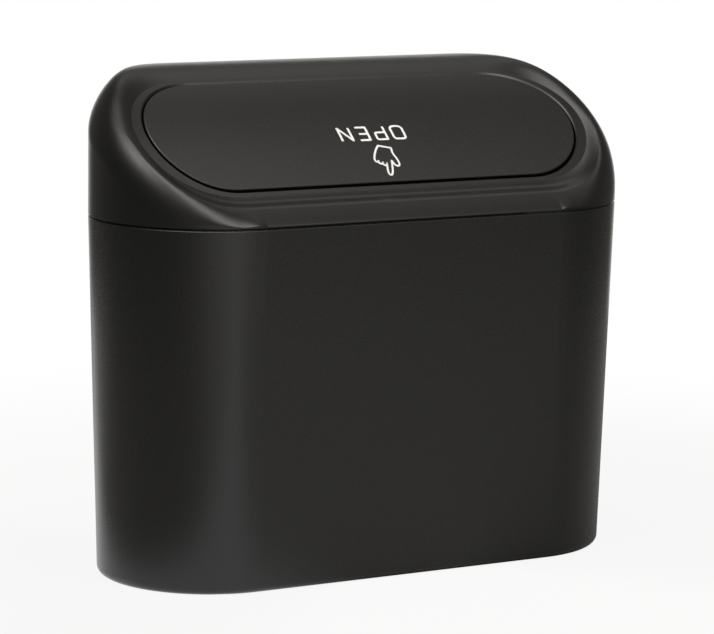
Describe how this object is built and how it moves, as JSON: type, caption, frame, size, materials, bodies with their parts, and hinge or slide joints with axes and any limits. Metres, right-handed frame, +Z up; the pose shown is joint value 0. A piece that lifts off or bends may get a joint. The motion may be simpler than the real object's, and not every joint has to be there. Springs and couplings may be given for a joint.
{
  "type": "car trash bin",
  "caption": "Slim black car trash bin with rounded ends, a wedge lid and a sprung flap that is pushed in to drop waste into the tapered tub; the lid lifts off.",
  "frame": {"origin": "middle of the base, on the surface it stands on", "axes": "+Z up, +X along the length, +Y towards the lid's tall side"},
  "size_m": [0.205, 0.085, 0.1779],
  "materials": {
    "body_plastic": "fine-grained satin",
    "lid_plastic": "fine-grained satin",
    "flap_plastic": "fine-grained satin",
    "steel": "drawn wire and rod"
  },
  "bodies": {
    "bin": {"bin_body": "body_plastic"},
    "lid": {"lid_frame": "lid_plastic", "hinge_pin_left": "steel", "hinge_pin_right": "steel", "return_spring_left": "steel", "return_spring_right": "steel"},
    "flap": {"push_flap": "flap_plastic"}
  },
  "joints": [
    {"name": "flap_hinge", "type": "hinge", "parent": "lid", "child": "flap", "pos_m": [0, 0.01239, 0.16208], "axis": [1, 0, 0], "range_deg": [0, 70], "stiffness_Nm_per_rad": 0.01, "springref_deg": -45.84, "deforming": ["return_spring_left", "return_spring_right"]},
    {"name": "lid_lift", "type": "slide", "parent": "bin", "child": "lid", "axis": [0, 0, 1], "range_m": [0, 0.08]}
  ]
}
